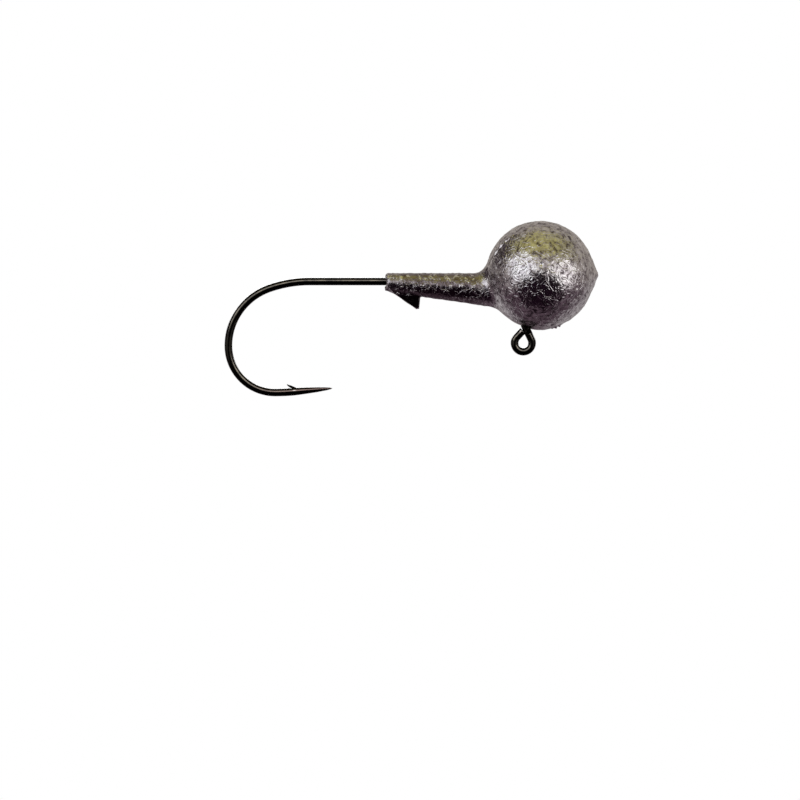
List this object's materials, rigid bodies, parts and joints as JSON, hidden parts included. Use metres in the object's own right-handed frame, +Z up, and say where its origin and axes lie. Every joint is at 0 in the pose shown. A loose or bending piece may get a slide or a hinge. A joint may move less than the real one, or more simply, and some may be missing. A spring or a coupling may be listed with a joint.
{
  "type": "jig_head",
  "caption": "Round lead jig head for soft baits: a ball cast round a barbed, black nickel jig hook with an upright line eye, and a tapered collar with a bait keeper behind it",
  "frame": {"origin": "The centre of the line eye, where the line is tied", "axes": "+X runs along the shank from the lead head to the bend of the hook, +Y is across the flat of the hook, and +Z is up as the jig hangs from its line, from the shank to the line eye and the hook's point."},
  "size_m": [0.0578, 0.0168, 0.0272],
  "materials": {
    "black_nickel": "gloss",
    "cast_lead": "satin"
  },
  "bodies": {
    "root": {"hook": "black_nickel", "lead_casting": "cast_lead"}
  },
  "joints": []
}
